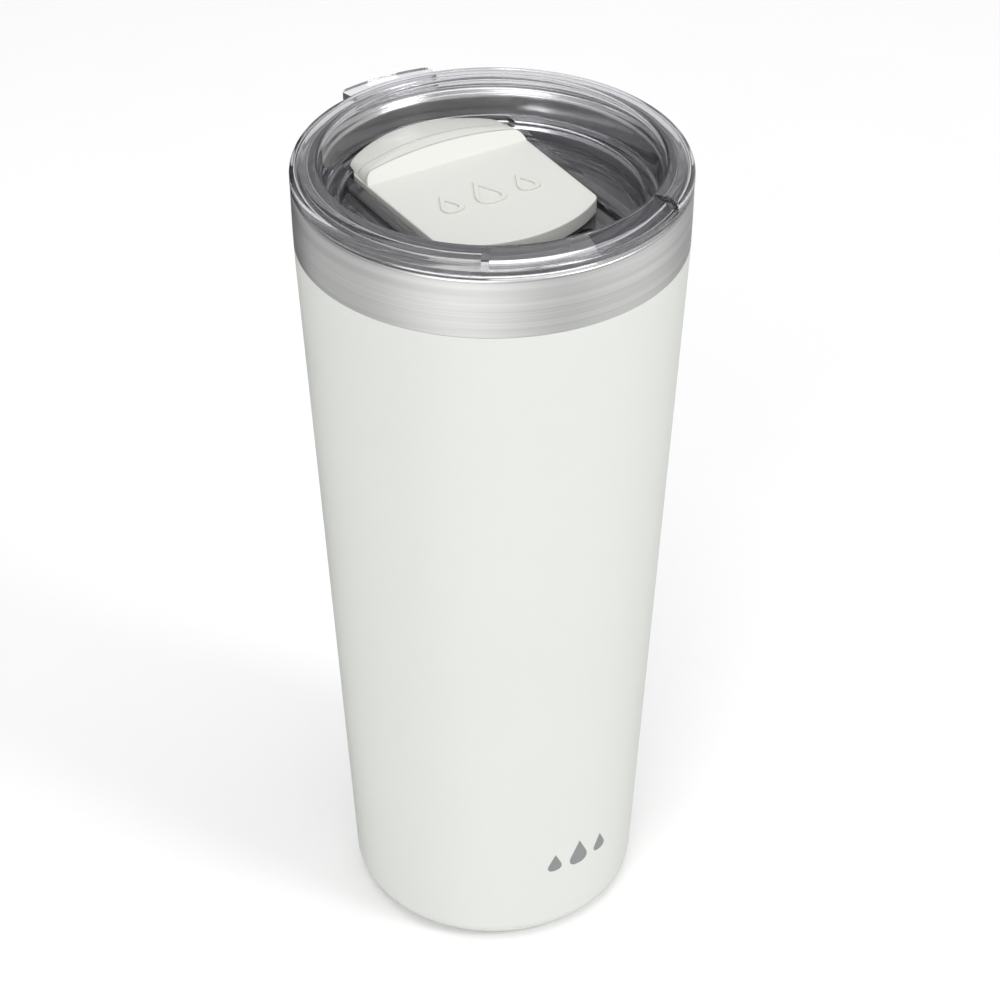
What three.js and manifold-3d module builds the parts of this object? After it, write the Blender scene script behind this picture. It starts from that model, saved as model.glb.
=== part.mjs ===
// An insulated tumbler: a double-walled steel cup, a clear press-in lid and a sliding closure.
// Millimetres, +Z up. The origin is on the cup's axis, in the plane that the cup stands on.
// The closure slides along Y: people drink at the -Y side, and the lid's thumb tab is at +Y.
import * as THREE from 'three';
import { mergeVertices } from 'three/addons/utils/BufferGeometryUtils.js';
import Module from 'manifold-3d';

const wasm = await Module();
wasm.setup();

// ---- driving dimensions -------------------------------------------------------------------
const SEGMENTS = 64; // round the cup's axis, so that neighbouring walls share their facets
const SMALL_SEGMENTS = 24;
const HALF_TURN = Math.PI;

// Cup, outside. A straight taper runs up to SHOULDER and then eases to upright at RIM_START.
const BASE_RADIUS = 38.03; // where the taper would meet the ground
const TAPER = 0.0489; // growth in radius per millimetre of height
const SHOULDER = 192;
const RIM_START = 211.6;
const RIM_TOP = 215.4;
const RIM_RADIUS = BASE_RADIUS + TAPER * (SHOULDER + RIM_START) / 2;
const BAND_BOTTOM = 200; // bare steel from here up
const CORNER = 6.3; // radius of the rounded foot

// Cup, walls.
const SHELL_WALL = 0.5;
const LINER_WALL = 0.4;
const COAT = 0.3; // powder coat, flush with the bare band
const HAIRLINE = 0.02; // left between two faces that touch all round
const RIM_WIDTH = 2.6; // both walls together at the mouth
const WALL_WIDTH = 4.4; // both walls and the vacuum between them, lower down
const LINER_FLOOR = 9;
const LINER_CORNER = 9;
const FOOT_INNER = 28.6;
const TOUCH = 0.3; // between two pieces that bear on each other

// Lid.
const LID_UNDER = RIM_TOP + 0.35;
const LID_TOP = 221;
const PANEL_FLOOR = 206.2; // the two side panels of the well
const WELL_RADIUS = 36.5;
const LEDGE = 210.8;
const CHANNEL_HALF = 23.3;
const CHANNEL_FLOOR = 205;
const RAIL_OUTER = 25.8;
const RAIL_TOP = 208.6;
const BACK_POCKET = 209.2; // the ledge is cut down to here for the slider's back edge
const POCKET_HALF = 23.6;
const POCKET_RADIUS = 39.3;
const LID_FLOOR_UNDER = 203;
const PLUG_BOTTOM = 201.2;
const GROOVE_BOTTOM = 203.9;
const GROOVE_TOP = 207.9;
const GROOVE_ROOT = 39.3;
const SIP_ARC = 25.5; // radius of the middle of the drinking slot
const SIP_HALF_WIDTH = 3.3;
const SIP_HALF_ANGLE = 0.61;
const LIP_HALF_ANGLE = 0.56; // the sloped part of the rim that meets the mouth
const TAB_RADIUS = 53;
const TAB_HALF_ANGLE = 0.245;
const TAB_LOW = 216.6;
const TAB_HIGH = 218.6;

// Slider, drawn open, against the back of the well.
const TRAVEL = 16;
const SLIDER_HALF = 22.2; // half the width at Y = 0
const SIDE_SLOPE = 0.0165; // growth in half width per millimetre towards +Y
const SLIDER_UNDER = CHANNEL_FLOOR + 0.35;
const SLIDER_TOP = 209.3;
const SLIDER_FRONT = 34.9; // radius of the front edge, about FRONT_CENTRE on Y
const FRONT_CENTRE = 14.7;
const SLIDER_BACK = 36.2; // radius of the back wall, about the cup's axis
const LIP_BACK = 34.5; // radius of the overhanging back edge, about LIP_CENTRE on Y
const LIP_CENTRE = 4.45;
const LIP_UNDER = BACK_POCKET + TOUCH;
const GRIP_START = 20.6;
const GRIP_FRONT = 24;
const GRIP_BACK = 27.4;
const GRIP_TOP = 213.5;
const GRIP_SHOULDER = 3; // rounding between the grip's top and its sides
const CROWN = 140; // radius of the grip's top from side to side
const BACK_CROWN = 92; // the same, behind GRIP_BACK
const BACK_FALL = 0.19; // slope of the grip behind GRIP_BACK
const COVER_SIDE = 1.7;
const COVER_ROOF = 1.8;
const PEG_X = 9;
const PEG_Y = 10;
const PEG_WIDTH = 3.6;
const PEG_LENGTH = 6;

// ---- helpers ------------------------------------------------------------------------------
const point = (x, y) => new THREE.Vector2(x, y);

function arc(x, y, radius, from, to, steps) {
  return Array.from({ length: steps + 1 }, (_, i) => {
    const angle = from + (to - from) * i / steps;
    return point(x + radius * Math.cos(angle), y + radius * Math.sin(angle));
  });
}

// Turns an outline of radius and height about Z. Run anticlockwise, its faces point outwards.
function turned(outline, segments = SEGMENTS) {
  const anticlockwise = THREE.ShapeUtils.area(outline) > 0 ? outline : [...outline].reverse();
  const geometry = new THREE.LatheGeometry(anticlockwise, segments);
  geometry.rotateX(HALF_TURN / 2);
  return geometry;
}

// An outline in X and Y, raised from one height to another.
function raised(shape, low, high, curveSegments = 16) {
  const depth = high - low;
  const geometry = new THREE.ExtrudeGeometry(shape, { depth, bevelEnabled: false, curveSegments });
  geometry.translate(0, 0, low);
  return geometry;
}

function box(x0, x1, y0, y1, z0, z1) {
  const geometry = new THREE.BoxGeometry(x1 - x0, y1 - y0, z1 - z0);
  geometry.translate((x0 + x1) / 2, (y0 + y1) / 2, (z0 + z1) / 2);
  return geometry;
}

// A three.js geometry as a manifold solid. Triangles that shrink to a line on the axis go.
function solid(geometry) {
  const bare = geometry.clone();
  bare.deleteAttribute('normal');
  bare.deleteAttribute('uv');
  const merged = mergeVertices(bare, 1e-4);
  const index = merged.index.array;
  const kept = [];
  for (let i = 0; i < index.length; i += 3) {
    const [a, b, c] = [index[i], index[i + 1], index[i + 2]];
    if (a !== b && b !== c && c !== a) kept.push(a, b, c);
  }
  const vertProperties = new Float32Array(merged.attributes.position.array);
  return new wasm.Manifold(new wasm.Mesh({ numProp: 3, vertProperties, triVerts: new Uint32Array(kept) }));
}

function geometryOf(manifold) {
  const mesh = manifold.getMesh();
  const geometry = new THREE.BufferGeometry();
  geometry.setAttribute('position', new THREE.BufferAttribute(mesh.vertProperties, 3));
  geometry.setIndex(new THREE.BufferAttribute(mesh.triVerts, 1));
  geometry.computeVertexNormals();
  return geometry;
}

const materials = {
  coat: new THREE.MeshStandardMaterial({ color: 0xe4e6e1, roughness: 0.55, metalness: 0 }),
  steel: new THREE.MeshStandardMaterial({ color: 0xb9b9b7, roughness: 0.32, metalness: 1 }),
  smoke: new THREE.MeshStandardMaterial({ color: 0x77767d, roughness: 0.05, metalness: 0 }),
  white: new THREE.MeshStandardMaterial({ color: 0xe9eae4, roughness: 0.4, metalness: 0 }),
  silicone: new THREE.MeshStandardMaterial({ color: 0x8e8f92, roughness: 0.6, metalness: 0 }),
  glass: new THREE.MeshStandardMaterial({ color: 0x5d6660, roughness: 0.2, metalness: 0 }),
  getter: new THREE.MeshStandardMaterial({ color: 0x4a4845, roughness: 0.9, metalness: 0 }),
};

function piece(name, geometry, material) {
  const mesh = new THREE.Mesh(geometry, material);
  mesh.name = name;
  return mesh;
}

// ---- the cup ------------------------------------------------------------------------------
function bodyRadius(z) {
  const straight = BASE_RADIUS + TAPER * z;
  if (z <= SHOULDER) return straight;
  const past = Math.min(z, RIM_START) - SHOULDER;
  return BASE_RADIUS + TAPER * (SHOULDER + past - past * past / (2 * (RIM_START - SHOULDER)));
}

// The liner's inside: WALL_WIDTH within the body, closing to RIM_WIDTH at the mouth.
function linerRadius(z) {
  const start = 185;
  const t = THREE.MathUtils.smoothstep(z, start, RIM_START);
  return bodyRadius(z) - THREE.MathUtils.lerp(WALL_WIDTH, RIM_WIDTH, t);
}

const cornerTop = CORNER * (1 - TAPER);
const cornerCentre = bodyRadius(cornerTop) - CORNER;
const coatEnd = -1.31; // angle on the corner where the coat stops, short of the ground

// Heights at which a wall's outline has a point: few on the taper, more where it curves.
const taperHeights = [100, SHOULDER, 196];
const bandHeights = [203, 207, RIM_START];

function outerShell() {
  const lip = point(RIM_RADIUS - RIM_WIDTH / 2, RIM_TOP - RIM_WIDTH / 2);
  const inset = COAT + HAIRLINE;
  const outside = [
    point(FOOT_INNER, 3),
    point(FOOT_INNER, 0.8),
    point(FOOT_INNER + 0.8, 0),
    ...arc(cornerCentre, CORNER, CORNER, -HALF_TURN / 2, coatEnd, 2),
    ...arc(cornerCentre, CORNER, CORNER - inset, coatEnd, -0.05, 5),
    ...taperHeights.map((z) => point(bodyRadius(z) - inset, z)),
    point(bodyRadius(BAND_BOTTOM) - inset, BAND_BOTTOM - HAIRLINE),
    point(bodyRadius(BAND_BOTTOM), BAND_BOTTOM - HAIRLINE),
    ...bandHeights.map((z) => point(bodyRadius(z), z)),
    ...arc(lip.x, lip.y, RIM_WIDTH / 2, 0, 1.5, 4),
  ];
  const wall = inset + SHELL_WALL;
  const inside = [
    ...arc(lip.x, lip.y, RIM_WIDTH / 2 - SHELL_WALL, 1.5, 0, 3),
    point(bodyRadius(BAND_BOTTOM + 5) - SHELL_WALL, BAND_BOTTOM + 5),
    point(bodyRadius(BAND_BOTTOM + 1) - wall, BAND_BOTTOM + 1),
    ...[SHOULDER, 100].map((z) => point(bodyRadius(z) - wall, z)),
    ...arc(cornerCentre, CORNER, CORNER - wall, -0.05, -HALF_TURN / 2, 5),
    point(FOOT_INNER + 1.3, CORNER - (CORNER - wall)),
    point(FOOT_INNER + SHELL_WALL, 1.6),
    point(FOOT_INNER + SHELL_WALL, 3),
  ];
  const loop = [...outside, ...inside];
  return turned([...loop, loop[0].clone()]);
}

function powderCoat() {
  const outside = [
    ...arc(cornerCentre, CORNER, CORNER, coatEnd, -0.05, 5),
    ...taperHeights.map((z) => point(bodyRadius(z), z)),
    point(bodyRadius(BAND_BOTTOM), BAND_BOTTOM - 3 * HAIRLINE),
  ];
  const inside = [
    point(bodyRadius(BAND_BOTTOM) - COAT, BAND_BOTTOM - 3 * HAIRLINE),
    ...[...taperHeights].reverse().map((z) => point(bodyRadius(z) - COAT, z)),
    ...arc(cornerCentre, CORNER, CORNER - COAT, -0.05, coatEnd, 5),
  ];
  const loop = [...outside, ...inside];
  return turned([...loop, loop[0].clone()]);
}

function innerLiner() {
  const lip = point(RIM_RADIUS - RIM_WIDTH / 2, RIM_TOP - RIM_WIDTH / 2);
  const cornerZ = LINER_FLOOR + LINER_CORNER;
  const cornerX = linerRadius(cornerZ) - LINER_CORNER;
  const heights = [100, 185, 192, 200, 206, RIM_START];
  const weld = HALF_TURN / 2 + 0.11; // angle on the lip where the outer shell begins
  const inside = [
    point(0, LINER_FLOOR),
    ...arc(cornerX, cornerZ, LINER_CORNER, -HALF_TURN / 2, -0.05, 5),
    ...heights.map((z) => point(linerRadius(z), z)),
    ...arc(lip.x, lip.y, RIM_WIDTH / 2, HALF_TURN, weld, 4),
  ];
  const outside = [
    ...arc(lip.x, lip.y, RIM_WIDTH / 2 - LINER_WALL, weld, HALF_TURN, 3),
    ...[...heights].reverse().map((z) => point(linerRadius(z) + LINER_WALL, z)),
    ...arc(cornerX, cornerZ, LINER_CORNER + LINER_WALL, -0.05, -HALF_TURN / 2, 5),
    point(0, LINER_FLOOR - LINER_WALL),
  ];
  return turned([...inside, ...outside]);
}

// The plate that closes the vacuum space, with a dimple for the sealing bead.
const plateLow = 2.2;
const plateHigh = 2.8;
const dimple = 5;
const dimpleRise = 0.7;
const pumpHole = 0.8;

function outerBottom() {
  const edge = FOOT_INNER - TOUCH;
  const loop = [
    point(pumpHole, plateLow + dimpleRise),
    point(dimple, plateLow + dimpleRise),
    point(dimple + 0.8, plateLow),
    point(edge, plateLow),
    point(edge, plateHigh),
    point(dimple + 1.2, plateHigh),
    point(dimple + 0.4, plateHigh + dimpleRise),
    point(pumpHole, plateHigh + dimpleRise),
  ];
  return turned([...loop, loop[0].clone()]);
}

function vacuumSeal() {
  return turned([
    point(0, plateLow + 0.1),
    point(3, plateLow + 0.15),
    point(4, plateLow + 0.4),
    point(4, plateLow + dimpleRise - HAIRLINE),
    point(0, plateLow + dimpleRise - HAIRLINE),
  ], SMALL_SEGMENTS);
}

function baseDisc() {
  const edge = FOOT_INNER - TOUCH;
  return turned([point(0, 0.8), point(edge - 0.4, 0.8), point(edge, 1.2), point(edge, 1.6), point(0, 1.6)]);
}

// The getter soaks up stray gas. Its pellet sits in a little welded cup, off the middle.
const getterSpot = new THREE.Vector3(15, 0, plateHigh + TOUCH);

function getterCup() {
  const loop = [point(0, 0), point(5, 0), point(5, 2.4), point(4.6, 2.4), point(4.6, 0.4), point(0, 0.4)];
  return turned(loop, SMALL_SEGMENTS);
}

function getterPellet() {
  const loop = [point(0, 0.7), point(4.2, 0.7), point(4.2, 2.9), point(3.8, 3.2), point(0, 3.2)];
  return turned(loop, SMALL_SEGMENTS);
}

// ---- the lid ------------------------------------------------------------------------------
// A slot that follows the wall of the well, about a centre on Y.
function arcSlot(centreY, halfWidth) {
  const middle = -HALF_TURN / 2;
  const from = middle - SIP_HALF_ANGLE;
  const to = middle + SIP_HALF_ANGLE;
  const endAt = (angle) => point(SIP_ARC * Math.cos(angle), centreY + SIP_ARC * Math.sin(angle));
  const right = endAt(to);
  const left = endAt(from);
  return new THREE.Shape([
    ...arc(0, centreY, SIP_ARC + halfWidth, from, to, 14),
    ...arc(right.x, right.y, halfWidth, to, to + HALF_TURN, 8).slice(1),
    ...arc(0, centreY, SIP_ARC - halfWidth, to, from, 14).slice(1),
    ...arc(left.x, left.y, halfWidth, from + HALF_TURN, from + 2 * HALF_TURN, 8).slice(1, -1),
  ]);
}

function lidBody() {
  const body = solid(turned([
    point(0, PANEL_FLOOR),
    point(WELL_RADIUS, PANEL_FLOOR),
    point(WELL_RADIUS, LEDGE - 0.5),
    point(WELL_RADIUS + 0.5, LEDGE),
    point(39.4, LEDGE),
    point(39.9, LEDGE + 0.5),
    point(41.2, 219.9),
    point(41.7, 220.6),
    point(43.4, LID_TOP),
    point(45.2, 220.8),
    point(46.7, 220.2),
    point(47.6, 219.1),
    point(48, 217.6),
    point(48, LID_UNDER + 0.5),
    point(47.5, LID_UNDER),
    point(46.3, LID_UNDER),
    point(46.2, 217.2),
    point(43.2, 217.2),
    point(43.1, LID_UNDER),
    point(42.5, LID_UNDER - 0.8),
    point(42.3, GROOVE_TOP),
    point(GROOVE_ROOT, GROOVE_TOP),
    point(GROOVE_ROOT, GROOVE_BOTTOM),
    point(41.4, GROOVE_BOTTOM),
    point(41.4, GROOVE_BOTTOM - 1.2),
    point(40, PLUG_BOTTOM),
    point(37.1, PLUG_BOTTOM),
    point(36.7, LID_FLOOR_UNDER),
    point(0, LID_FLOOR_UNDER),
  ]));

  const tabPlan = new THREE.Shape([
    ...arc(0, 0, 46.5, HALF_TURN / 2 + TAB_HALF_ANGLE, HALF_TURN / 2 - TAB_HALF_ANGLE, 6),
    ...arc(0, 0, TAB_RADIUS - 2.2, HALF_TURN / 2 - TAB_HALF_ANGLE, HALF_TURN / 2 - TAB_HALF_ANGLE, 1).slice(1),
    ...arc(0, 0, TAB_RADIUS, HALF_TURN / 2 - TAB_HALF_ANGLE + 0.05, HALF_TURN / 2 + TAB_HALF_ANGLE - 0.05, 8),
    ...arc(0, 0, TAB_RADIUS - 2.2, HALF_TURN / 2 + TAB_HALF_ANGLE, HALF_TURN / 2 + TAB_HALF_ANGLE, 1).slice(1),
  ]);
  const tab = solid(raised(tabPlan, TAB_LOW, TAB_HIGH));

  const wellCore = (radius, low, high) =>
    solid(turned([point(0, low), point(radius, low), point(radius, high), point(0, high)]));
  const channel = wellCore(WELL_RADIUS, CHANNEL_FLOOR, PANEL_FLOOR + 1)
    .intersect(solid(box(-CHANNEL_HALF, CHANNEL_HALF, -50, 50, CHANNEL_FLOOR - 1, PANEL_FLOOR + 1)));
  const rail = (side) => wellCore(WELL_RADIUS + 0.3, CHANNEL_FLOOR - 1, RAIL_TOP).intersect(solid(box(
    Math.min(side * CHANNEL_HALF, side * RAIL_OUTER), Math.max(side * CHANNEL_HALF, side * RAIL_OUTER),
    -50, 50, CHANNEL_FLOOR - 1, RAIL_TOP)));
  const backPocket = wellCore(POCKET_RADIUS, BACK_POCKET, LEDGE + 1)
    .intersect(solid(box(-POCKET_HALF, POCKET_HALF, 20, 50, BACK_POCKET, LEDGE + 1)));

  // Thinned from below, so that the side panels are no thicker than the channel's floor.
  const panelHollow = wellCore(34.3, LID_FLOOR_UNDER - 1, PANEL_FLOOR - 2.2)
    .subtract(solid(box(-27.7, 27.7, -50, 50, LID_FLOOR_UNDER - 2, PANEL_FLOOR)));

  const slack = 0.4;
  const guideSlot = (side) => solid(box(
    side * PEG_X - PEG_WIDTH / 2 - slack, side * PEG_X + PEG_WIDTH / 2 + slack,
    PEG_Y - TRAVEL - PEG_LENGTH / 2 - slack, PEG_Y + PEG_LENGTH / 2 + slack,
    LID_FLOOR_UNDER - 1, CHANNEL_FLOOR + 1));

  const sipSlot = solid(raised(arcSlot(0, SIP_HALF_WIDTH), LID_FLOOR_UNDER - 1, CHANNEL_FLOOR + 1));

  const slope = solid(turned([
    point(42, 220.3), point(49, 217), point(49, 223), point(42, 223), point(42, 220.3),
  ]));
  const sector = new THREE.Shape([
    point(0, 0), ...arc(0, 0, 60, -HALF_TURN / 2 - LIP_HALF_ANGLE, -HALF_TURN / 2 + LIP_HALF_ANGLE, 8),
  ]);
  const lip = slope.intersect(solid(raised(sector, 210, 225)));

  // Outside the sloped lip the rim is hollowed from below, up to a thin roof.
  const widerSector = new THREE.Shape([
    point(0, 0),
    ...arc(0, 0, 60, -HALF_TURN / 2 - LIP_HALF_ANGLE - 0.04, -HALF_TURN / 2 + LIP_HALF_ANGLE + 0.04, 8),
  ]);
  const rimHollow = solid(turned([
    point(43.2, 216.8), point(46.2, 216.8), point(46, 218.4), point(45.5, 218.9),
    point(43.9, 218.9), point(43.4, 218.4), point(43.2, 216.8),
  ])).subtract(solid(raised(widerSector, 210, 225)));

  const joined = body.add(tab).subtract(channel).subtract(panelHollow).subtract(backPocket)
    .subtract(rimHollow).add(rail(1)).add(rail(-1));
  return geometryOf(joined.subtract(guideSlot(1)).subtract(guideSlot(-1)).subtract(sipSlot).subtract(lip));
}

// A silicone ring with two soft fins that press on the liner.
function lidGasket() {
  const root = GROOVE_ROOT + TOUCH;
  const low = GROOVE_BOTTOM + TOUCH;
  const high = GROOVE_TOP - TOUCH;
  const loop = [
    point(root, low),
    point(41.6, low),
    point(44.1, low + 0.8),
    point(44.1, low + 1.2),
    point(41.8, low + 0.9),
    point(41.8, low + 1.9),
    point(44.3, low + 2.7),
    point(44.3, low + 3.1),
    point(41.6, high),
    point(root, high),
  ];
  return turned([...loop, loop[0].clone()]);
}

// ---- the slider ---------------------------------------------------------------------------
// The slider from above. Its back edge is an arc of radius back, about backCentre on Y.
function sliderPlan(inset, back = SLIDER_BACK, backCentre = 0) {
  const front = SLIDER_FRONT - inset;
  const rear = back - inset;
  const halfAt = (y) => SLIDER_HALF + SIDE_SLOPE * y - inset;
  const frontAt = (x) => FRONT_CENTRE - Math.sqrt(front * front - x * x);
  const backAt = (x) => backCentre + Math.sqrt(rear * rear - x * x);
  const frontHalf = halfAt(-12);
  const backHalf = halfAt(29);
  const frontTurn = frontHalf - 1.4;
  const backTurn = backHalf - 1.8;
  const frontAngle = Math.asin(frontTurn / front);
  const backAngle = Math.asin(backTurn / rear);
  const shape = new THREE.Shape();
  shape.moveTo(-frontTurn, frontAt(frontTurn));
  shape.absarc(0, FRONT_CENTRE, front, -HALF_TURN / 2 - frontAngle, -HALF_TURN / 2 + frontAngle, false);
  shape.quadraticCurveTo(frontHalf, frontAt(frontHalf), frontHalf, frontAt(frontHalf) + 1.8);
  shape.lineTo(backHalf, backAt(backHalf) - 1.8);
  shape.quadraticCurveTo(backHalf, backAt(backHalf), backTurn, backAt(backTurn));
  shape.absarc(0, backCentre, rear, HALF_TURN / 2 - backAngle, HALF_TURN / 2 + backAngle, false);
  shape.quadraticCurveTo(-backHalf, backAt(backHalf), -backHalf, backAt(backHalf) - 1.8);
  shape.lineTo(-frontHalf, frontAt(frontHalf) + 1.8);
  shape.quadraticCurveTo(-frontHalf, frontAt(frontHalf), -frontTurn, frontAt(frontTurn));
  return shape;
}

// Turns an outline drawn in Y and Z, and raised along Z, so that it runs along X.
const alongX = new THREE.Matrix4().makeBasis(
  new THREE.Vector3(0, 1, 0), new THREE.Vector3(0, 0, 1), new THREE.Vector3(1, 0, 0));

// A long bar along Y with a crowned top and rounded shoulders. Its top is at GRIP_TOP over
// GRIP_BACK, and it is tipped down towards +Y.
function crownedBar(crown, tip, inset) {
  const half = SLIDER_HALF + SIDE_SLOPE * 29 - inset;
  const edge = half - GRIP_SHOULDER;
  const lean = Math.asin(edge / crown);
  const drop = crown - Math.sqrt(crown * crown - edge * edge);
  const bar = new THREE.Shape([
    point(-half, -20),
    point(half, -20),
    ...arc(edge, -drop - GRIP_SHOULDER, GRIP_SHOULDER, 0, HALF_TURN / 2 - lean, 4),
    ...arc(0, -crown, crown, HALF_TURN / 2 - lean, HALF_TURN / 2 + lean, 12).slice(1, -1),
    ...arc(-edge, -drop - GRIP_SHOULDER, GRIP_SHOULDER, HALF_TURN / 2 + lean, HALF_TURN, 4),
  ]);
  const geometry = raised(bar, -60, 60);
  geometry.rotateX(HALF_TURN / 2 - tip);
  geometry.translate(0, GRIP_BACK, GRIP_TOP);
  return solid(geometry);
}

// The slider's outer form: a flat plate with a crowned thumb grip at the back.
function sliderForm(inset, overhang) {
  const plan = sliderPlan(inset);
  const rise = (GRIP_TOP - SLIDER_TOP) / (GRIP_FRONT - GRIP_START);
  const reach = 30;
  const rampShape = new THREE.Shape([
    point(GRIP_START - 1, SLIDER_TOP - rise),
    point(GRIP_START + reach, SLIDER_TOP - rise),
    point(GRIP_START + reach, SLIDER_TOP + rise * reach),
  ]);
  const ramp = solid(raised(rampShape, -40, 40).applyMatrix4(alongX));
  const crown = crownedBar(CROWN, 0, inset).intersect(crownedBar(BACK_CROWN, BACK_FALL, inset));
  const plate = solid(raised(plan, SLIDER_UNDER, SLIDER_TOP, 10));
  const core = solid(raised(plan, SLIDER_TOP - 1, GRIP_TOP + 2, 10));
  const lip = solid(raised(sliderPlan(inset, LIP_BACK, LIP_CENTRE), LIP_UNDER, GRIP_TOP + 2, 10));
  const block = overhang ? core.add(lip) : core;
  return plate.add(block.intersect(ramp).intersect(crown));
}

function sliderCover() {
  const hollow = sliderForm(COVER_SIDE, false).translate([0, 0, -COVER_ROOF]);
  return geometryOf(sliderForm(0, true).subtract(hollow));
}

const carriageTop = SLIDER_UNDER + 1.5;
const padTop = SLIDER_UNDER + 0.75;

function sliderCarriage() {
  const fit = 0.25;
  const plate = solid(raised(sliderPlan(COVER_SIDE + fit), SLIDER_UNDER, carriageTop, 10));
  const pocket = solid(raised(arcSlot(TRAVEL, 4.6 + fit), SLIDER_UNDER - 1, padTop + fit));
  const peg = (side) => solid(box(
    side * PEG_X - PEG_WIDTH / 2, side * PEG_X + PEG_WIDTH / 2,
    PEG_Y - PEG_LENGTH / 2, PEG_Y + PEG_LENGTH / 2, PLUG_BOTTOM + 0.2, SLIDER_UNDER + 0.5));
  return geometryOf(plate.subtract(pocket).add(peg(1)).add(peg(-1)));
}

// The silicone pad that covers the drinking slot when the slider is pushed forward.
function sipSeal() {
  return raised(arcSlot(TRAVEL, 4.6), CHANNEL_FLOOR + 0.08, padTop);
}

// The plate that snaps onto the pegs from below and keeps the slider in its channel.
function sliderRetainer() {
  const plate = solid(box(-14.5, 14.5, PEG_Y - 6.5, PEG_Y + 6.5, PLUG_BOTTOM - 0.2, LID_FLOOR_UNDER - 0.4));
  const hole = (side) => solid(box(
    side * PEG_X - PEG_WIDTH / 2 - TOUCH, side * PEG_X + PEG_WIDTH / 2 + TOUCH,
    PEG_Y - PEG_LENGTH / 2 - TOUCH, PEG_Y + PEG_LENGTH / 2 + TOUCH, 195, 210));
  return geometryOf(plate.subtract(hole(1)).subtract(hole(-1)));
}

// ---- assembly -----------------------------------------------------------------------------
const cup = new THREE.Group();
cup.add(piece('powder_coat', powderCoat(), materials.coat));
cup.add(piece('outer_shell', outerShell(), materials.steel));
cup.add(piece('inner_liner', innerLiner(), materials.steel));
cup.add(piece('outer_bottom', outerBottom(), materials.steel));
cup.add(piece('vacuum_seal', vacuumSeal(), materials.glass));
cup.add(piece('base_disc', baseDisc(), materials.steel));

const getter = new THREE.Group();
getter.position.copy(getterSpot);
getter.add(piece('getter_cup', getterCup(), materials.steel));
getter.add(piece('getter_pellet', getterPellet(), materials.getter));
cup.add(getter);

const slider = new THREE.Group();
slider.add(piece('slider_cover', sliderCover(), materials.white));
slider.add(piece('slider_carriage', sliderCarriage(), materials.white));
slider.add(piece('sip_seal', sipSeal(), materials.silicone));
slider.add(piece('slider_retainer', sliderRetainer(), materials.white));

const lid = new THREE.Group();
lid.add(piece('lid_body', lidBody(), materials.smoke));
lid.add(piece('lid_gasket', lidGasket(), materials.silicone));
lid.add(slider);

const group = new THREE.Group();
group.add(cup);
group.add(lid);

export default group;
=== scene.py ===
# %% [markdown]
# # An insulated tumbler with a sliding lid
# The tumbler is a double-walled steel cup with a powder coat, a clear smoky lid that presses into
# its mouth, and a cream slider that opens and closes the drinking slot. The mechanical model
# comes first, as a fixed frame. Each step then makes one visible piece more finely, or gives a
# piece of the frame its real finish. Lengths are in millimetres until a mesh is finished.

# %% Load the frame
import math
import bmesh
import bpy
from mathutils import Matrix, Vector


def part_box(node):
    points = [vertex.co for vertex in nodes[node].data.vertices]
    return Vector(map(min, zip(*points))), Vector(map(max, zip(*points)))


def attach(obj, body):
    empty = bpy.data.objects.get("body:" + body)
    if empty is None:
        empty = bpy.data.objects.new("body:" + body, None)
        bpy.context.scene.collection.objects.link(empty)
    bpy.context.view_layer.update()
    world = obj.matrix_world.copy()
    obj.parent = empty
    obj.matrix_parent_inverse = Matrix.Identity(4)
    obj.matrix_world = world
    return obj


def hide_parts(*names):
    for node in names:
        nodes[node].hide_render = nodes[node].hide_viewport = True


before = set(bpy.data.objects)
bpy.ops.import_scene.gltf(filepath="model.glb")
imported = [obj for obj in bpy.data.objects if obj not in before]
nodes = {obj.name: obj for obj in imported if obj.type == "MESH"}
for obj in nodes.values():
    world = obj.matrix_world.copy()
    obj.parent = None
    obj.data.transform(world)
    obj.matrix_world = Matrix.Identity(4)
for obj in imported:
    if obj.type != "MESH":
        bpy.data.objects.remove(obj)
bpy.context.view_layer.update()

# %% [markdown]
# ## Sizes that several pieces share
# The cup is a long cone that eases to upright near its mouth. Two short functions give its radius
# at any height, so that the coat, the steel under it and the liner all follow one form. They
# could be read off the frame's triangles, but a formula gives them exactly.

# %% The cup's form
MM = 0.001
BASE_RADIUS = 38.03
TAPER = 0.0489
SHOULDER = 192
RIM_START = 211.6
RIM_TOP = 215.4
RIM_RADIUS = BASE_RADIUS + TAPER * (SHOULDER + RIM_START) / 2
BAND_BOTTOM = 200
COAT = 0.3
HAIRLINE = 0.02
COAT_STEP = COAT + HAIRLINE


def body_radius(height):
    past = min(max(height - SHOULDER, 0), RIM_START - SHOULDER)
    straight = min(height, SHOULDER)
    return BASE_RADIUS + TAPER * (straight + past - past * past / (2 * (RIM_START - SHOULDER)))


def liner_radius(height):
    share = min(max((height - 185) / (RIM_START - 185), 0), 1)
    share = share * share * (3 - 2 * share)
    return body_radius(height) - 4.4 + share * 1.8


for node, radius in (("outer_shell", RIM_RADIUS), ("powder_coat", body_radius(BAND_BOTTOM))):
    low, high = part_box(node)
    print(node, "radius", round(high.x / MM, 2), "by the formula", round(radius, 2))

# %% [markdown]
# ## Turning, cutting and rounding
# Most of the tumbler is round, so its pieces are turned: an outline in radius and height is drawn
# as a wire, its corners are rounded, and Spin carries it round the axis. The lid and the slider
# also have flat-sided features, which are plates raised from an outline seen from above. Boolean
# modifiers join and cut those solids. Modelling by hand on a subdivided mesh would also work, but
# exact corners of a few tenths of a millimetre are simpler to reach this way.

# %% From a wire to a piece
AROUND = 192
ROUNDING_STEPS = 6


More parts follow.
